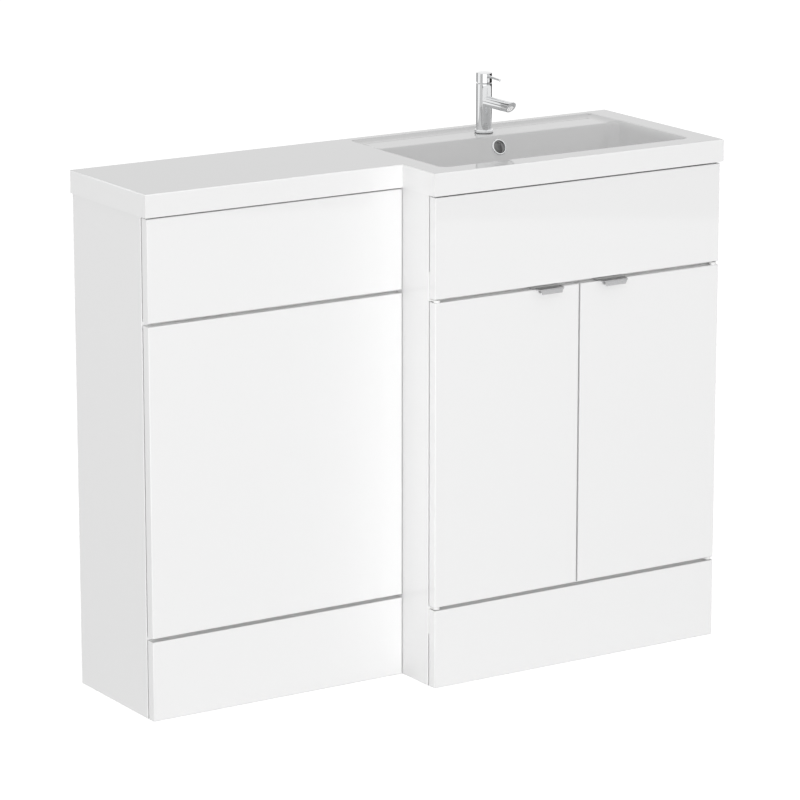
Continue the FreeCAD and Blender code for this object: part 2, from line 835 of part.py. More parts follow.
def overflow():
    """The open chrome trim ring, and the duct behind the bowl."""
    mouth, inward = overflow_line()
    flange = rod(overflow_ring_radius, mouth - inward * overflow_ring_flange, mouth)
    rim = [e for e in flange.Edges if e.Closed and not near(e.CenterOfMass.distanceToPoint(mouth), 0)]
    flange = flange.makeFillet(overflow_ring_edge, rim)
    sleeve = rod(overflow_hole_radius - overflow_fit, mouth, mouth + inward * overflow_sleeve)
    bore = rod(overflow_ring_bore, mouth - inward * overflow_ring_flange, mouth + inward * overflow_sleeve)
    keep("overflow_ring", union([flange, sleeve]).cut(bore))

    outer_at_plate = deck_front + (deck_z - plate_under) * rear_slope - bowl_wall
    back = outer_at_plate - duct_depth_at_top - duct_wall
    waste_depth = away(waste_centre.y)
    chamber = waste_nut_radius + duct_wall

    def shell(inset, top_z):
        """The duct's outline, or its hollow when drawn in by a wall."""
        half = duct_width / 2 - inset
        low = duct_bottom + inset
        upright = block(vanity_x - half, vanity_x + half, back + inset, waste_depth, low, top_z)
        pot = rod(chamber - inset, waste_centre + Vec(0, 0, low), waste_centre + Vec(0, 0, bowl_under))
        return upright.fuse(pot)

    body = shell(0, plate_under).cut(shell(duct_wall, plate_under - duct_wall))
    body = body.cut(bowl_shell(rim_z))
    body = body.cut(rod(waste_hole_radius, waste_centre + Vec(0, 0, duct_bottom),
                        waste_centre + Vec(0, 0, bowl_under)))
    keep("overflow_duct", body.removeSplitter())


def waste():
    """A slotted push waste: body, plug, seals and backnut."""
    def at(z):
        return waste_centre + Vec(0, 0, z)

    flange_under = floor_z - waste_flange
    nut_top = duct_bottom - waste_seal
    nut_bottom = nut_top - waste_nut_height
    tail_end = nut_bottom - waste_tail_length
    bore = rod(waste_tail_bore, at(tail_end), at(floor_z))
    body = rod(waste_flange_radius, at(flange_under), at(floor_z))
    body = body.fuse(rod(waste_body_radius, at(nut_bottom), at(flange_under)))
    body = body.fuse(rod(waste_tail_radius, at(tail_end), at(nut_bottom))).cut(bore)
    slot_z = bowl_under - duct_run_height / 2
    for turn in (0, 90):
        slot = Part.makeBox(2 * waste_flange_radius, waste_slot_width, waste_slot_height,
                            Vec(-waste_flange_radius, -waste_slot_width / 2, -waste_slot_height / 2))
        slot.rotate(Vec(), Vec(0, 0, 1), turn)
        slot.translate(at(slot_z))
        body = body.cut(slot)
    bar_top = flange_under - waste_bar_drop
    bar_bottom = bar_top - waste_bar_height
    bar = Part.makeBox(2 * waste_tail_bore, waste_bar_width, waste_bar_height,
                       at(bar_bottom) - Vec(waste_tail_bore, waste_bar_width / 2, 0))
    spider = bar.common(bore).fuse(rod(waste_boss_radius, at(bar_bottom), at(bar_top)))
    body = body.fuse(spider).cut(rod(plug_stem_radius + plug_clearance, at(bar_bottom), at(bar_top)))
    keep("waste_body", body.removeSplitter())

    stem_end = bar_bottom - plug_stem_overrun
    disc_bottom = floor_z + plug_seat_gap
    edge_top = disc_bottom + plug_thickness
    disc = rod(plug_radius, at(disc_bottom), at(edge_top))
    crown_radius = (plug_radius ** 2 + plug_crown ** 2) / (2 * plug_crown)
    ball = Part.makeSphere(crown_radius, at(edge_top + plug_crown - crown_radius))
    crown = ball.common(rod(plug_radius, at(edge_top), at(edge_top + plug_crown)))
    keep("waste_plug", union([disc, crown, rod(plug_stem_radius, at(stem_end), at(disc_bottom))]))

    thread = waste_body_radius + waste_nut_clearance
    keep("waste_seals",
         ring(waste_flange_radius, waste_hole_radius, waste_centre, flange_under - waste_seal, flange_under),
         ring(waste_nut_radius, thread, waste_centre, nut_top, duct_bottom))
    keep("waste_backnut", ring(waste_nut_radius, thread, waste_centre, nut_bottom, nut_top))


# Tap


def tap_axis():
    return Vec(vanity_x, away(tap_depth), 0)


def tap():
    axis = tap_axis()

    def at(z, forward=0.0, across=0.0):
        return axis + Vec(across, -forward, z)

    base_bottom_z = deck_z + tap_seal
    base_top_z = deck_z + tap_base_height
    cap_top = deck_z + tap_height
    cap_bottom = cap_top - tap_cap_height
    body_top = cap_bottom - tap_seam
    collar_top = body_top + tap_collar_height
    spout_z = deck_z + tap_spout_height
    chamber_z = spout_z - tap_spout_bore

    base = rod(tap_base_radius, at(base_bottom_z), at(base_top_z))
    base = base.makeFillet(tap_base_edge, circles_at(base, base_top_z))
    base = base.makeFillet(tap_base_foot, circles_at(base, base_bottom_z))
    keep("tap_base_ring", base.cut(rod(tap_neck_radius + tap_stud_fit, at(base_bottom_z), at(base_top_z))))
    keep("tap_seals", ring(tap_base_radius - tap_seal, tap_hole_radius, axis, deck_z, base_bottom_z))

    # The spout's end is cut at a slant, with its upper edge at the reach
    lean = math.radians(tap_spout_cut)
    face_down = Vec(0, math.sin(lean), -math.cos(lean))
    face_out = Vec(0, -math.cos(lean), -math.sin(lean))
    face_middle = at(spout_z, tap_spout_reach - tap_spout_radius * math.tan(lean))
    spout = rod(tap_spout_radius, at(spout_z), at(spout_z, tap_spout_reach))
    spout = spout.cut(rod(tap_spout_reach, face_middle, face_middle + face_out * tap_spout_reach))
    stem = rod(tap_neck_radius, at(base_bottom_z), at(base_top_z))
    barrel = rod(tap_radius, at(base_top_z), at(body_top))
    stem = stem.fuse(barrel.makeFillet(tap_seam_edge, circles_at(barrel, body_top)))
    body = stem.fuse(rod(tap_collar_radius, at(body_top), at(collar_top))).fuse(spout)
    cartridge_bottom = collar_top - tap_cartridge_height
    body = body.cut(rod(tap_cartridge_radius + tap_cartridge_fit, at(cartridge_bottom), at(collar_top)))
    body = body.cut(rod(tap_cartridge_radius - tap_cap_wall, at(chamber_z), at(collar_top)))
    aerator_mouth = face_middle + face_down * tap_aerator_drop
    aerator_seat = aerator_mouth - face_out * tap_aerator_depth
    aerator_face = aerator_mouth - face_out * tap_aerator_recess
    body = body.cut(rod(tap_spout_bore, at(spout_z), Vec(axis.x, aerator_seat.y, spout_z)))
    body = body.cut(rod(tap_aerator_radius + tap_cartridge_fit, aerator_seat,
                        aerator_mouth + face_out * tap_aerator_depth))
    inlet_top = base_bottom_z + tap_inlet_depth
    for way in (-1, 1):
        across = way * tap_inlet_spacing / 2
        body = body.cut(rod(tap_inlet_radius, at(base_bottom_z, -tap_inlet_offset, across),
                            at(inlet_top, -tap_inlet_offset, across)))
        body = body.cut(rod(tap_waterway_radius, at(inlet_top, -tap_inlet_offset, across),
                            at(chamber_z, -tap_inlet_offset, way * tap_waterway_radius)))
    stud_top = base_bottom_z + tap_stud_in_body
    body = body.cut(rod(tap_stud_radius + tap_stud_fit, at(base_bottom_z, tap_stud_offset),
                        at(stud_top, tap_stud_offset)))
    keep("tap_body", body.removeSplitter())

    aerator = rod(tap_aerator_radius, aerator_seat, aerator_face)
    for across, along in [(0, 0)] + six_round(tap_aerator_pitch):
        shift = Vec(across, 0, 0) + face_down * along
        aerator = aerator.cut(rod(tap_aerator_hole, aerator_seat + shift, aerator_face + shift))
    keep("tap_aerator", aerator)

    tap_control(at, cap_bottom, cap_top, collar_top, cartridge_bottom)
    tap_fixing(at, base_bottom_z)


def tap_control(at, cap_bottom, cap_top, collar_top, cartridge_bottom):
    """The cartridge, the turret that swivels in it, and the cap that tips on the turret."""
    cartridge_top = collar_top - tap_cartridge_sink
    turret_foot = cartridge_top - tap_turret_in_cartridge
    pin_z = cap_bottom + tap_pin_rise
    ceiling = cap_top - tap_cap_crown
    cartridge = rod(tap_cartridge_radius, at(cartridge_bottom), at(cartridge_top))
    keep("tap_cartridge", cartridge.cut(rod(tap_cartridge_bore, at(turret_foot), at(cartridge_top))))

    spindle = rod(tap_turret_radius, at(turret_foot + tap_pin_fit), at(cartridge_top))
    head = rod(tap_turret_head, at(cartridge_top), at(pin_z + tap_turret_over_pin))
    pin_hole = rod(tap_pin_radius + tap_pin_fit, at(pin_z, 0, -tap_radius), at(pin_z, 0, tap_radius))
    keep("tap_turret", union([spindle, head]).cut(pin_hole))

    cap = rod(tap_radius, at(cap_bottom), at(cap_top))
    cap = cap.makeFillet(tap_cap_edge, circles_at(cap, cap_top))
    cap = relieved(cap, at(cap_bottom))
    cap = cap.cut(rod(tap_radius - tap_cap_wall, at(cap_bottom), at(ceiling)))
    lug_inner = tap_turret_head + tap_lug_gap
    lug_outer = lug_inner + tap_lug_width
    for way in (-1, 1):
        x0 = min(way * lug_inner, way * lug_outer)
        lug = Part.makeBox(tap_lug_width, 2 * tap_lug_half, ceiling - pin_z + tap_lug_below,
                           at(pin_z - tap_lug_below, tap_lug_half, x0))
        cap = cap.fuse(lug)
    pin = rod(tap_pin_radius, at(pin_z, 0, -lug_outer), at(pin_z, 0, lug_outer))
    cap = cap.cut(pin)
    lever_z = cap_top - tap_lever_drop
    lever_root = tap_radius - tap_lever_seat
    lever_fall = (tap_lever_reach - lever_root) * math.tan(math.radians(tap_lever_tilt))
    lever = rod(tap_lever_radius, at(lever_z, lever_root), at(lever_z - lever_fall, tap_lever_reach))
    lever_tip = [e for e in lever.Edges if e.Closed and near(e.CenterOfMass.y, at(0, tap_lever_reach).y)]
    cap = cap.cut(lever)
    keep("tap_cap", cap.removeSplitter())
    keep("tap_tilt_pin", pin)
    keep("tap_lever", lever.makeFillet(tap_lever_edge, lever_tip))


def relieved(cap, foot):
    """The cap with the rear of its foot cut up at a slant, to let it tip back, and its lower edge rounded."""
    slant = math.radians(tap_cap_relief)
    away_from_cap = Vec(0, math.sin(slant), -math.cos(slant))
    cap = cap.cut(rod(2 * tap_radius, foot, foot + away_from_cap * tap_radius))
    relief_top = foot.z + tap_radius * math.tan(slant)
    lower = edges_on(cap, lambda p: p.z < relief_top + tap_seam)
    return cap.makeFillet(tap_seam_edge, [e for e in lower if not isinstance(e.Curve, Part.Line)])


def tap_fixing(at, base_bottom_z):
    """The stud, horseshoe plate, its seal and the nut that hold the tap down."""
    stud_top = base_bottom_z + tap_stud_in_body
    stud_foot = stud_top - tap_stud_length
    keep("tap_stud", rod(tap_stud_radius, at(stud_foot, tap_stud_offset), at(stud_top, tap_stud_offset)))

    def horseshoe(z_top, thickness):
        z0 = z_top - thickness
        plate = rod(tap_clamp_radius, at(z0), at(z_top))
        slot = Part.makeBox(2 * tap_clamp_slot, 2 * tap_clamp_radius, thickness,
                            at(z0, tap_clamp_slot_front, -tap_clamp_slot))
        hole = rod(tap_stud_radius + tap_stud_fit, at(z0, tap_stud_offset), at(z_top, tap_stud_offset))
        return plate.cut(slot).cut(hole)

    keep("tap_seals", horseshoe(plate_under, tap_clamp_seal))
    plate_top = plate_under - tap_clamp_seal
    keep("tap_clamp_plate", horseshoe(plate_top, tap_clamp_plate))
    nut_top = plate_top - tap_clamp_plate
    nut_bottom = nut_top - tap_nut_height
    corners = [at(nut_bottom, tap_stud_offset + y, x) for x, y in six_round(tap_nut_radius)]
    hole = rod(tap_stud_radius + tap_stud_fit, at(nut_bottom, tap_stud_offset), at(nut_top, tap_stud_offset))
    keep("tap_stud_nut", prism(corners, Vec(0, 0, tap_nut_height)).cut(hole))


wc_unit()
vanity_unit()
doors()
basin_top()
overflow()
waste()
tap()

os.makedirs("parts", exist_ok=True)
for name, solids in nodes.items():
    shape = solids[0] if len(solids) == 1 else Part.makeCompound(solids)
    shape.exportStep("parts/" + name + ".step")
    print(name, len(shape.Solids), shape.isValid(), round(shape.Volume))
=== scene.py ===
"""A white gloss combination vanity unit: its looks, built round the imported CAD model."""

import json
import math

import bmesh
import bpy
from bpy.props import FloatProperty, FloatVectorProperty, IntProperty, PointerProperty
from mathutils import Euler, Matrix, Vector


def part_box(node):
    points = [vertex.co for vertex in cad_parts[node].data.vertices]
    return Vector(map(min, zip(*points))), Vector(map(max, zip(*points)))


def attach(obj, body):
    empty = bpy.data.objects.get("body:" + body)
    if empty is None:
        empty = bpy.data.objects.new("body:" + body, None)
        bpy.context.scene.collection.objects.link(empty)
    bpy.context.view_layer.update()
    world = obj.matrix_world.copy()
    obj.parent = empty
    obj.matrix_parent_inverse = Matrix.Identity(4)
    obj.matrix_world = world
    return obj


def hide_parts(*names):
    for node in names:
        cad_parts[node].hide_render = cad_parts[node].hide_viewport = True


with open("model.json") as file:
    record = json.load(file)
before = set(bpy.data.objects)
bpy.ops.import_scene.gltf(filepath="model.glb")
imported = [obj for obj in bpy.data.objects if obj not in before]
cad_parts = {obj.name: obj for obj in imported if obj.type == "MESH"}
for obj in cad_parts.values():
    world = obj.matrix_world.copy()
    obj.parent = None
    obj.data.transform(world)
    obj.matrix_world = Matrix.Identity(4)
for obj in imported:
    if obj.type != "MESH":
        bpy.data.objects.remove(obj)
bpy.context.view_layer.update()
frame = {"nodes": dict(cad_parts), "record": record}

bl_info = {
    "name": "Combination vanity unit",
    "version": (1, 0, 0),
    "blender": (4, 5, 0),
    "location": "View3D > Sidebar > Vanity unit",
    "description": "Builds the boards, basin top, tap and fittings of a white gloss vanity unit",
    "category": "Add Mesh",
}

SLOT_OF = {entry["node"]: entry["material_slot"] for entry in frame["record"]["subparts"]}
BODIES = frame["record"]["behaviour"]["bodies"]
BODY_OF = {node: body for body, nodes in BODIES.items() for node in nodes}

FRONT_BOARDS = ("wc_front_panel", "wc_access_panel", "wc_plinth", "vanity_fascia", "vanity_plinth",
                "door_left", "door_right")
SIDE_BOARDS = ("wc_side_left", "wc_side_right", "vanity_side_left", "vanity_side_right")
BASIN_TOP = "basin_worktop"
TAP_PIECES = ("tap_body", "tap_base_ring", "tap_cap", "tap_lever", "tap_aerator", "tap_cartridge",
              "tap_turret", "tap_tilt_pin", "tap_seals", "tap_stud", "tap_clamp_plate", "tap_stud_nut")
WASTE_PIECES = ("overflow_ring", "overflow_duct", "waste_body", "waste_plug", "waste_seals",
                "waste_backnut")
HANDLE_PIECES = ("handle_left", "handle_right", "handle_screws_left", "handle_screws_right")
HINGE_PIECES = ("hinge_arms", "hinge_screws", "hinge_bushes_left", "hinge_bushes_right", "door_bumpers",
                "access_studs", "access_sockets")
INNER_BOARDS = ("wc_top_front_rail", "wc_top_rear_rail", "wc_mid_rail", "wc_low_rail", "vanity_base",
                "vanity_back_panel", "vanity_rear_rail", "vanity_mid_rail", "vanity_shelf")
FIXINGS = ("fixing_blocks", "panel_screws", "carcass_dowels", "unit_bolts", "wall_brackets", "shelf_pins")

# Faces that turn by less than this are one flat
FLAT = math.radians(0.2)
# Corners nearer to each other than this, in metres, are one corner
SAME_CORNER = 1e-6
# A corner nearer to a board's front than this, in metres, lies on it
ON_FACE = 1e-5
# A flat of the basin top that is larger than this, in square metres, keeps its own normal to its edges
WIDE_FLAT = 0.002
# How much large faces lead the shading of a shared corner, where 50 is neutral and 100 the most
FACE_LEAD = 90
# Most cards hang between these heights, in metres: higher than what the fronts and sides mirror to the
# camera, and lower than what the basin top mirrors
CARD_FOOT = 0.34
CARD_TOP = 0.85
# Width of the camera's sensor, in millimetres, and how far it sees, in metres
SENSOR_WIDTH = 36.0
FAR_CLIP = 100.0


def linear(hex_code):
    """Turns an sRGB hex colour into linear red, green, blue and alpha, by the curve of the sRGB standard."""
    channels = []
    for start in (0, 2, 4):
        value = int(hex_code[start:start + 2], 16) / 255
        channels.append(value / 12.92 if value <= 0.04045 else ((value + 0.055) / 1.055) ** 2.4)
    return (*channels, 1.0)


def colour_property(name, description, hex_code):
    return FloatVectorProperty(name=name, description=description, subtype="COLOR", size=4,
                               min=0.0, max=1.0, default=linear(hex_code))


class VanityFinishes(bpy.types.PropertyGroup):
    lacquer: colour_property("Lacquer", "White gloss lacquer of the boards", "F2F2F2")
    gel_coat: colour_property("Gel coat", "White gel coat of the basin top", "F4F4F4")
    melamine: colour_property("Melamine", "White melamine of the inner boards", "EDEDEC")
    chrome: colour_property("Chrome", "Polished chrome of the tap and waste", "E4E5E6")
    satin: colour_property("Satin chrome", "Satin chrome of the handles", "BEBEBF")
    zinc: colour_property("Zinc", "Zinc plating of the steel fittings", "B4B6B8")
    powder: colour_property("Powder coat", "White powder coat of the hinge arms", "EEEEED")
    brass: colour_property("Brass", "Machined brass of the nut and spindle", "C8A45C")
    rubber: colour_property("Rubber", "Black rubber of the seals and bumpers", "26262A")
    white_plastic: colour_property("White plastic", "Moulded white plastic fittings", "F0F0F0")
    grey_plastic: colour_property("Grey plastic", "Moulded grey plastic of the cartridge", "8A8C8F")
    beech: colour_property("Beech", "Beech of the dowels", "C9A271")


class VanityShapes(bpy.types.PropertyGroup):
    front_edge: FloatProperty(name="Front edge", description="Rounding of a front board's face",
                              default=0.002, min=0.0002, max=0.006, unit="LENGTH")
    side_edge: FloatProperty(name="Side edge", description="Rounding of a carcass side's edge band",
                             default=0.0008, min=0.0002, max=0.003, unit="LENGTH")
    edge_steps: IntProperty(name="Edge steps", description="Faces across a rounded edge",
                            default=5, min=1, max=12)
    crease: FloatProperty(name="Crease", description="Edges that turn by more than this stay sharp",
                          default=math.radians(38), min=0.0, max=math.pi, subtype="ANGLE")


class VanityStage(bpy.types.PropertyGroup):
    lens: FloatProperty(name="Lens", description="Focal length of the camera",
                        default=184.84, min=20.0, max=400.0, unit="CAMERA")
    camera_place: FloatVectorProperty(name="Camera place", description="Where the camera stands",
                                      default=(-3.760, -5.876, 2.202), subtype="TRANSLATION")
    yaw: FloatProperty(name="Yaw", description="How far the camera looks to the right of the Y axis",
                       default=math.radians(32.54), subtype="ANGLE")
    pitch: FloatProperty(name="Pitch", description="How far the camera looks down",
                         default=math.radians(13.91), subtype="ANGLE")
    world_light: FloatProperty(name="World light", description="Strength of the light from all round",
                               default=0.57, min=0.0, max=3.0)
    key_light: FloatProperty(name="Key light", description="Power of the low softbox before the fronts",
                             default=1070.0, min=0.0, max=9000.0, unit="POWER")
    high_light: FloatProperty(name="High light", description="Power of the softbox that looks into the bowl",
                              default=40.0, min=0.0, max=9000.0, unit="POWER")
    side_light: FloatProperty(name="Side light", description="Power of the softbox beyond the left end",
                              default=550.0, min=0.0, max=9000.0, unit="POWER")
    card_distance: FloatProperty(name="Card distance", description="How far the cards stand from the tap",
                                 default=2.4, min=1.0, max=6.0, unit="LENGTH")
    card_steps: IntProperty(name="Card steps", description="Faces across a curved card",
                            default=24, min=3, max=96)
    bright_card: FloatProperty(name="Bright card", description="Level of the card before the tap",
                               default=1.5, min=0.0, max=9.0)
    grey_card: FloatProperty(name="Grey cards", description="Level of the grey cards",
                             default=0.40, min=0.0, max=1.0)
    dark_card: FloatProperty(name="Dark card", description="Level of the dark card beyond the right end",
                             default=0.015, min=0.0, max=1.0)
    strip_card: FloatProperty(name="Strip", description="Level of the high strip that the spout mirrors",
                              default=0.22, min=0.0, max=1.0)
    floor_colour: colour_property("Floor", "Colour of the matt floor in the light", "A0A0A0")
    floor_half: FloatProperty(name="Floor half", description="Half the length of the floor's sides",
                              default=9.0, min=2.0, max=50.0, unit="LENGTH")
    floor_lift: FloatProperty(name="Floor lift", description="White added to the floor where it is seen",
                              default=0.88, min=0.0, max=1.0)


# Materials


def add_node(tree, kind, values=(), links=(), settings=()):
    """Adds a node with its socket values, its links from other sockets and its settings."""
    node = tree.nodes.new(kind)
    for name, value in settings:
        setattr(node, name, value)
    for socket, value in values:
        node.inputs[socket].default_value = value
    for socket, source in links:
        tree.links.new(source, node.inputs[socket])
    return node


def surface(name, colour, values, width, tone, rough, relief,
            stretch=(1.0, 1.0, 1.0), kind="ShaderNodeTexNoise"):
    """A material with a pattern of a real width in metres, or the one of that name that is there already.

    The pattern darkens the colour by up to the share tone, spreads the roughness between the two values
    of rough and lifts the surface by relief, in metres.
    """
    found = bpy.data.materials.get(name)
    if found:
        return found
    material = bpy.data.materials.new(name)
    material.use_nodes = True
    tree = material.node_tree
    shader = tree.nodes["Principled BSDF"]
    for socket, value in values:
        shader.inputs[socket].default_value = value
    place = add_node(tree, "ShaderNodeTexCoord")
    scale = Vector(stretch) / width
    mapped = add_node(tree, "ShaderNodeMapping", values=(("Scale", scale),),
                      links=(("Vector", place.outputs["Object"]),))
    pattern = add_node(tree, kind, values=(("Scale", 1.0),), links=(("Vector", mapped.outputs["Vector"]),))
    # Each kind of pattern gives its grey value first
    grey = pattern.outputs[0]
    darker = (*(channel * (1.0 - tone) for channel in colour[:3]), 1.0)
    mixed = add_node(tree, "ShaderNodeMix", settings=(("data_type", "RGBA"),),
                     values=(("A", colour), ("B", darker)), links=(("Factor", grey),))
    spread = add_node(tree, "ShaderNodeMapRange", values=(("To Min", rough[0]), ("To Max", rough[1])),
                      links=(("Value", grey),))
    bump = add_node(tree, "ShaderNodeBump", values=(("Distance", relief),), links=(("Height", grey),))
    tree.links.new(mixed.outputs["Result"], shader.inputs["Base Color"])
    tree.links.new(spread.outputs["Result"], shader.inputs["Roughness"])
    tree.links.new(bump.outputs["Normal"], shader.inputs["Normal"])
    return material


def finish_for(slot):
    """The material of a slot."""
    colours = bpy.context.scene.vanity_finishes
    metal = (("Metallic", 1.0),)
    if slot == "white_gloss":
        # Sprayed and polished lacquer: white, sharp reflections with a trace of orange peel, 6 mm wide
        return surface("white gloss lacquer", colours.lacquer, (("IOR", 1.5),),
                       width=0.006, tone=0.01, rough=(0.012, 0.03), relief=4e-6)
    if slot == "basin_gel_coat":
        # Gel coat cast against a polished mould: white and mirror smooth, with slow waves of 25 mm
        return surface("cast mineral gel coat", colours.gel_coat, (("IOR", 1.5),),
                       width=0.025, tone=0.01, rough=(0.012, 0.03), relief=1e-5)
    if slot == "white_board":
        # Melamine paper pressed with a pebble of 0.5 mm, drawn 2 mm wide to show: a wide, dull sheen
        return surface("white melamine board", colours.melamine, (("IOR", 1.5),),
                       width=0.002, tone=0.02, rough=(0.38, 0.52), relief=4e-5)
    if slot == "chrome":
        # Chrome plate on polished brass: a near mirror, with a haze that comes and goes over 12 mm
        return surface("polished chrome", colours.chrome, metal,
                       width=0.012, tone=0.01, rough=(0.025, 0.055), relief=2e-6)
    if slot == "satin_chrome":
        # Chrome plate on blasted steel, its 0.2 mm grain drawn 0.8 mm wide to show: blurred reflections
        return surface("satin chrome", colours.satin, metal,
                       width=0.0008, tone=0.06, rough=(0.14, 0.24), relief=4e-6)
    if slot == "steel":
        # Bright zinc on pressed steel, in spangles of 3 mm: a soft metal sheen
        return surface("zinc plated steel", colours.zinc, metal,
                       width=0.003, tone=0.14, rough=(0.28, 0.45), relief=4e-6, kind="ShaderNodeTexVoronoi")
    if slot == "white_steel":
        # Powder coat baked on steel: white with a soft sheen and a peel of 1.5 mm
        return surface("white powder coat", colours.powder, (("IOR", 1.5),),
                       width=0.0015, tone=0.02, rough=(0.28, 0.42), relief=2e-5)
    if slot == "brass":
        # Brass turned about a vertical line, its 0.15 mm tool marks drawn 0.6 mm apart to show
        return surface("turned brass", colours.brass, metal,
                       width=0.0006, tone=0.1, rough=(0.2, 0.4), relief=1e-5, stretch=(0.03, 0.03, 1.0))
    if slot == "rubber":
        # Nitrile rubber from a spark-eroded mould: dark and matt, with a mottle of 1 mm
        return surface("nitrile rubber", colours.rubber, (("IOR", 1.52),),
                       width=0.001, tone=0.15, rough=(0.65, 0.85), relief=2e-5)
    if slot == "grey_plastic":
        # Acetal from a fine mould: grey with a dull sheen and a mottle of 1 mm
        return surface("grey acetal", colours.grey_plastic, (("IOR", 1.48),),
                       width=0.001, tone=0.05, rough=(0.35, 0.5), relief=1e-5)
    if slot == "beech":
        # Beech dowels, their grain 0.6 mm wide and drawn out twelve times along X: pale and dry
        return surface("turned beech", colours.beech, (("IOR", 1.5),),
                       width=0.0006, tone=0.3, rough=(0.5, 0.7), relief=2e-5, stretch=(0.08, 1.0, 1.0))
    # Polypropylene from a fine mould: white with a soft sheen and a mottle of 1.5 mm
    return surface("white polypropylene", colours.white_plastic, (("IOR", 1.49),),
                   width=0.0015, tone=0.02, rough=(0.33, 0.47), relief=1e-5)


# Pieces


def place_piece(node, mesh_builder):
    """Makes the piece that stands for a CAD node, on its body and with its slot's finish."""
    shapes = bpy.context.scene.vanity_shapes
    bm = bmesh.new()
    mesh_builder(bm)
    mesh = bpy.data.meshes.new(node + "_piece")
    bm.to_mesh(mesh)
    bm.free()
    for polygon in mesh.polygons:
        polygon.use_smooth = True
    mesh.set_sharp_from_angle(angle=shapes.crease)
    slot = SLOT_OF[node]
    mesh.materials.append(finish_for(slot))
    piece = bpy.data.objects.new(node + "_piece", mesh)
    bpy.context.scene.collection.objects.link(piece)
    weighted = piece.modifiers.new("weighted normals", "WEIGHTED_NORMAL")
    weighted.keep_sharp = True
    weighted.weight = FACE_LEAD
    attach(piece, BODY_OF[node])
    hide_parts(node)
    return piece


def board_mesh(node, test, radius):
    """A builder for a square board with the tested edges rounded."""
    low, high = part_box(node)

    def build(bm):
        place = Matrix.Translation((low + high) / 2) @ Matrix.Diagonal((*(high - low), 1.0))
        bmesh.ops.create_cube(bm, size=1.0, matrix=place)
        edges = [edge for edge in bm.edges if all(test(vertex.co, low) for vertex in edge.verts)]
        bmesh.ops.bevel(bm, geom=edges, offset=radius, affect="EDGES", profile=0.5, material=-1,
                        segments=bpy.context.scene.vanity_shapes.edge_steps)

    return build


def merged_mesh(node):
    """A builder for a CAD node's own shape, its triangles joined and its flats made one face each."""
    def build(bm):
        bm.from_mesh(frame["nodes"][node].data)
        bmesh.ops.remove_doubles(bm, verts=bm.verts, dist=SAME_CORNER)
        bmesh.ops.dissolve_limit(bm, angle_limit=FLAT, verts=bm.verts, edges=bm.edges)

    return build


def on_front(point, low):
    return abs(point.y - low.y) < ON_FACE


def anywhere(point, low):
    return True


class VANITY_OT_fronts(bpy.types.Operator):
    """Front boards and doors with rounded faces"""
    bl_idname = "vanity.fronts"
    bl_label = "Fronts"

    def execute(self, context):
        for node in FRONT_BOARDS:
            place_piece(node, board_mesh(node, on_front, context.scene.vanity_shapes.front_edge))
        return {"FINISHED"}


class VANITY_OT_sides(bpy.types.Operator):
    """Carcass sides with banded edges"""
    bl_idname = "vanity.sides"
    bl_label = "Sides"

    def execute(self, context):
        for node in SIDE_BOARDS:
            place_piece(node, board_mesh(node, anywhere, context.scene.vanity_shapes.side_edge))
        return {"FINISHED"}


class VANITY_OT_basin_top(bpy.types.Operator):
    """One-piece basin top"""
    bl_idname = "vanity.basin_top"
    bl_label = "Basin top"

    def execute(self, context):
        piece = place_piece(BASIN_TOP, merged_mesh(BASIN_TOP))
        for polygon in piece.data.polygons:
            polygon.use_smooth = polygon.area < WIDE_FLAT
        return {"FINISHED"}


class VANITY_OT_tap(bpy.types.Operator):
    """Single-lever tap and its fixings"""
    bl_idname = "vanity.tap"
    bl_label = "Tap"

    def execute(self, context):
        for node in TAP_PIECES:
            place_piece(node, merged_mesh(node))
        return {"FINISHED"}


class VANITY_OT_waste(bpy.types.Operator):
    """Overflow, its duct and the push waste"""
    bl_idname = "vanity.waste"
    bl_label = "Overflow and waste"

    def execute(self, context):
        for node in WASTE_PIECES:
            place_piece(node, merged_mesh(node))
        return {"FINISHED"}


class VANITY_OT_handles(bpy.types.Operator):
    """Folded door handles and their screws"""
    bl_idname = "vanity.handles"
    bl_label = "Handles"

    def execute(self, context):
        for node in HANDLE_PIECES:
            place_piece(node, merged_mesh(node))
        return {"FINISHED"}


class VANITY_OT_hinges(bpy.types.Operator):
    """Pivot hinges, bumpers and push-fit studs"""
    bl_idname = "vanity.hinges"
    bl_label = "Hinges and studs"

    def execute(self, context):
        for node in HINGE_PIECES:
            place_piece(node, merged_mesh(node))
        return {"FINISHED"}


class VANITY_OT_carcass(bpy.types.Operator):
    """Inner boards and the fixings that hold the carcasses"""
    bl_idname = "vanity.carcass"
    bl_label = "Carcass"

    def execute(self, context):
        for node in INNER_BOARDS + FIXINGS:
            place_piece(node, merged_mesh(node))
        return {"FINISHED"}


# Stage


def seen_by_camera(tree):
    """A value of 1 for what the camera sees, directly, mirrored or through glass."""
    path = add_node(tree, "ShaderNodeLightPath")
    mirrored = add_node(tree, "ShaderNodeMath", settings=(("operation", "MAXIMUM"),),
                        links=((0, path.outputs["Is Camera Ray"]), (1, path.outputs["Is Glossy Ray"])))
    either = add_node(tree, "ShaderNodeMath", settings=(("operation", "MAXIMUM"),),
                      links=((0, mirrored.outputs["Value"]), (1, path.outputs["Is Transmission Ray"])))
    return either.outputs["Value"]


def light_world(world, strength):
    """White where the camera sees the world, and a plain even light elsewhere."""
    world.use_nodes = True
    tree = world.node_tree
    tree.nodes.clear()
    level = add_node(tree, "ShaderNodeMapRange", links=(("Value", seen_by_camera(tree)),),
                     values=(("To Min", strength), ("To Max", 1.0)))
    background = add_node(tree, "ShaderNodeBackground", values=(("Color", linear("FFFFFF")),),
                          links=(("Strength", level.outputs["Result"]),))
    add_node(tree, "ShaderNodeOutputWorld", links=(("Surface", background.outputs["Background"]),))


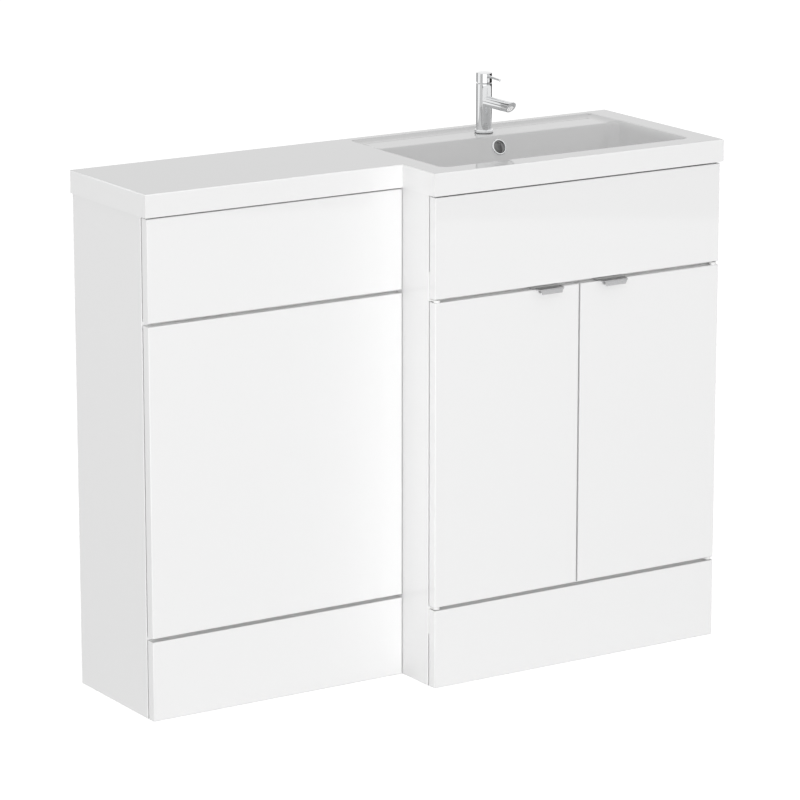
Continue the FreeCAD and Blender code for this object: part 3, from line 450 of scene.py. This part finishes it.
def floor_material(colour, lift):
    """Pale matt floor that keeps shadows and is lifted to white as the camera sees it."""
    material = bpy.data.materials.new("pale studio floor")
    material.use_nodes = True
    tree = material.node_tree
    tree.nodes.clear()
    diffuse = add_node(tree, "ShaderNodeBsdfDiffuse", values=(("Color", colour),))
    level = add_node(tree, "ShaderNodeMath", settings=(("operation", "MULTIPLY"),),
                     values=((1, lift),), links=((0, seen_by_camera(tree)),))
    glow = add_node(tree, "ShaderNodeEmission", links=(("Strength", level.outputs["Value"]),))
    both = add_node(tree, "ShaderNodeAddShader",
                    links=((0, diffuse.outputs["BSDF"]), (1, glow.outputs["Emission"])))
    add_node(tree, "ShaderNodeOutputMaterial", links=(("Surface", both.outputs["Shader"]),))
    return material


def softbox(name, place, target, width, height, power):
    """A rectangular area lamp turned to a point, which the glossy boards don't mirror."""
    lamp = bpy.data.lights.new(name, "AREA")
    lamp.shape = "RECTANGLE"
    lamp.size = width
    lamp.size_y = height
    lamp.energy = power
    holder = bpy.data.objects.new(name, lamp)
    holder.location = place
    holder.rotation_euler = (Vector(target) - Vector(place)).to_track_quat("-Z", "Y").to_euler()
    holder.visible_glossy = False
    bpy.context.scene.collection.objects.link(holder)


def reflection_card(name, start, end, bottom, top, level):
    """An upright card curved round the tap, seen only in reflections.

    It runs between two bearings, in degrees from the X axis, and two heights, in metres.
    """
    stage = bpy.context.scene.vanity_stage
    material = bpy.data.materials.new(name)
    material.use_nodes = True
    tree = material.node_tree
    tree.nodes.clear()
    glow = add_node(tree, "ShaderNodeEmission", values=(("Strength", level),))
    add_node(tree, "ShaderNodeOutputMaterial", links=(("Surface", glow.outputs["Emission"]),))
    low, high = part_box("tap_base_ring")
    middle = Vector(((low.x + high.x) / 2, (low.y + high.y) / 2, 0.0))
    bearing = math.radians(start)
    foot = middle + Vector((math.cos(bearing), math.sin(bearing), 0.0)) * stage.card_distance
    bm = bmesh.new()
    ends = [bm.verts.new(foot + Vector((0.0, 0.0, height))) for height in (bottom, top)]
    upright = bm.edges.new(ends)
    turn = math.radians(end - start)
    bmesh.ops.spin(bm, geom=ends + [upright], cent=middle, axis=(0.0, 0.0, 1.0), angle=turn,
                   steps=stage.card_steps)
    mesh = bpy.data.meshes.new(name)
    bm.to_mesh(mesh)
    bm.free()
    mesh.materials.append(material)
    card = bpy.data.objects.new(name, mesh)
    card.visible_camera = False
    card.visible_diffuse = False
    card.visible_shadow = False
    card.visible_transmission = False
    bpy.context.scene.collection.objects.link(card)


class VANITY_OT_stage(bpy.types.Operator):
    """Floor, soft light, reflection cards and the photograph's camera"""
    bl_idname = "vanity.stage"
    bl_label = "Stage"

    def execute(self, context):
        scene = context.scene
        stage = scene.vanity_stage
        # The floor ends before the softboxes, so that no board mirrors the bright patch at their feet
        bm = bmesh.new()
        bmesh.ops.create_grid(bm, x_segments=1, y_segments=1, size=stage.floor_half)
        mesh = bpy.data.meshes.new("floor")
        bm.to_mesh(mesh)
        bm.free()
        mesh.materials.append(floor_material(stage.floor_colour, stage.floor_lift))
        floor = bpy.data.objects.new("floor", mesh)
        scene.collection.objects.link(floor)

        world = bpy.data.worlds.new("studio")
        light_world(world, stage.world_light)
        scene.world = world
        softbox("low softbox", place=(-2.5, -13.9, 0.55), target=(0.0, 0.0, 0.55),
                width=4.0, height=0.7, power=stage.key_light)
        softbox("high softbox", place=(-5.7, -13.1, 2.40), target=(0.0, 0.0, 0.90),
                width=4.0, height=3.0, power=stage.high_light)
        softbox("left softbox", place=(-13.6, -0.5, 0.80), target=(0.0, 0.0, 0.6),
                width=4.0, height=0.9, power=stage.side_light)

        # The chrome mirrors these. The tall card and the strip are there for the spout.
        reflection_card("left grey card", start=-180, end=-147, bottom=CARD_FOOT, top=CARD_TOP,
                        level=stage.grey_card)
        reflection_card("front bright card", start=-139, end=-84, bottom=CARD_FOOT, top=CARD_TOP,
                        level=stage.bright_card)
        reflection_card("right grey card", start=-84, end=-30, bottom=0.37, top=CARD_TOP,
                        level=stage.grey_card)
        reflection_card("right dark card", start=-30, end=70, bottom=CARD_FOOT, top=0.88,
                        level=stage.dark_card)
        reflection_card("rear grey card", start=70, end=85, bottom=CARD_FOOT, top=CARD_TOP,
                        level=stage.grey_card)
        reflection_card("tall rear grey card", start=85, end=130, bottom=CARD_FOOT, top=1.75,
                        level=stage.grey_card)
        reflection_card("high strip", start=96, end=122, bottom=1.95, top=2.70, level=stage.strip_card)

        camera = bpy.data.cameras.new("camera")
        camera.sensor_width = SENSOR_WIDTH
        camera.lens = stage.lens
        camera.clip_end = FAR_CLIP
        holder = bpy.data.objects.new("camera", camera)
        holder.location = stage.camera_place
        holder.rotation_euler = Euler((math.pi / 2 - stage.pitch, 0.0, -stage.yaw))
        scene.collection.objects.link(holder)
        scene.camera = holder
        scene.view_settings.view_transform = "Standard"
        return {"FINISHED"}


class VANITY_PT_panel(bpy.types.Panel):
    """The unit's pieces, sizes and colours"""
    bl_idname = "VANITY_PT_panel"
    bl_label = "Vanity unit"
    bl_space_type = "VIEW_3D"
    bl_region_type = "UI"
    bl_category = "Vanity unit"

    def draw(self, context):
        layout = self.layout
        for name, group in GROUPS:
            box = layout.box()
            for setting in group.__annotations__:
                box.prop(getattr(context.scene, name), setting)
        for operator in OPERATORS:
            layout.operator(operator.bl_idname)


OPERATORS = (VANITY_OT_fronts, VANITY_OT_sides, VANITY_OT_basin_top, VANITY_OT_tap, VANITY_OT_waste,
             VANITY_OT_handles, VANITY_OT_hinges, VANITY_OT_carcass, VANITY_OT_stage)
GROUPS = (("vanity_finishes", VanityFinishes), ("vanity_shapes", VanityShapes),
          ("vanity_stage", VanityStage))


def register():
    for name, group in GROUPS:
        bpy.utils.register_class(group)
        setattr(bpy.types.Scene, name, PointerProperty(type=group))
    for operator in OPERATORS:
        bpy.utils.register_class(operator)
    bpy.utils.register_class(VANITY_PT_panel)


def unregister():
    bpy.utils.unregister_class(VANITY_PT_panel)
    for operator in reversed(OPERATORS):
        bpy.utils.unregister_class(operator)
    for name, group in reversed(GROUPS):
        delattr(bpy.types.Scene, name)
        bpy.utils.unregister_class(group)


def main():
    register()
    bpy.ops.vanity.fronts()
    bpy.ops.vanity.sides()
    bpy.ops.vanity.basin_top()
    bpy.ops.vanity.tap()
    bpy.ops.vanity.waste()
    bpy.ops.vanity.handles()
    bpy.ops.vanity.hinges()
    bpy.ops.vanity.carcass()
    bpy.ops.vanity.stage()
    bpy.context.view_layer.update()


if __name__ == "__main__":
    main()
